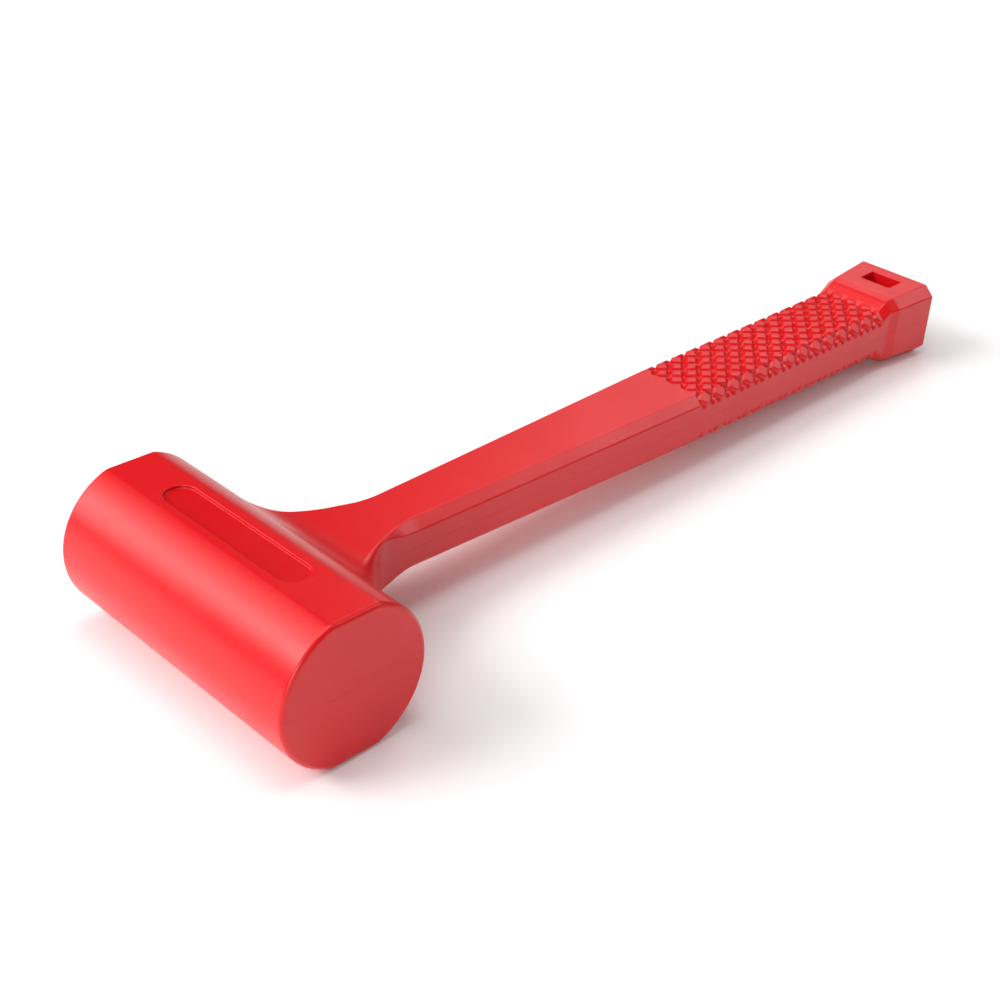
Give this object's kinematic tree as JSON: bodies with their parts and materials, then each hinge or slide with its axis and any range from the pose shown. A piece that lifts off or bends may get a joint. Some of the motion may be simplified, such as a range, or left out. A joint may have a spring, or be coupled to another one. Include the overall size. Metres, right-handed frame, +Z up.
{
  "type": "dead blow mallet",
  "caption": "Soft-faced dead blow mallet: one moulding over a welded steel canister and handle rod, with a loose shot charge that slides inside the head.",
  "frame": {"origin": "centre of the flat on the underside of the head", "axes": "+X along the handle towards its butt, +Y along the axis of the head, +Z up out of the head's upper flat"},
  "size_m": [0.3547, 0.1058, 0.0481],
  "materials": {
    "red_moulding": "satin, fine grain",
    "canister_steel": "drawn tube",
    "weld_metal": "as welded",
    "rod_steel": "cold drawn",
    "shot_steel": "tumbled"
  },
  "bodies": {
    "mallet": {"body_moulding": "red_moulding", "canister_tube": "canister_steel", "canister_cap_near": "canister_steel", "canister_cap_far": "canister_steel", "cap_weld_near": "weld_metal", "cap_weld_far": "weld_metal", "handle_rod": "rod_steel", "rod_weld": "weld_metal"},
    "shot_charge": {"steel_shot": "shot_steel"}
  },
  "joints": [
    {"name": "shot_slide", "type": "slide", "parent": "mallet", "child": "shot_charge", "axis": [0, 1, 0], "range_m": [-0.0106, 0.0106]}
  ]
}
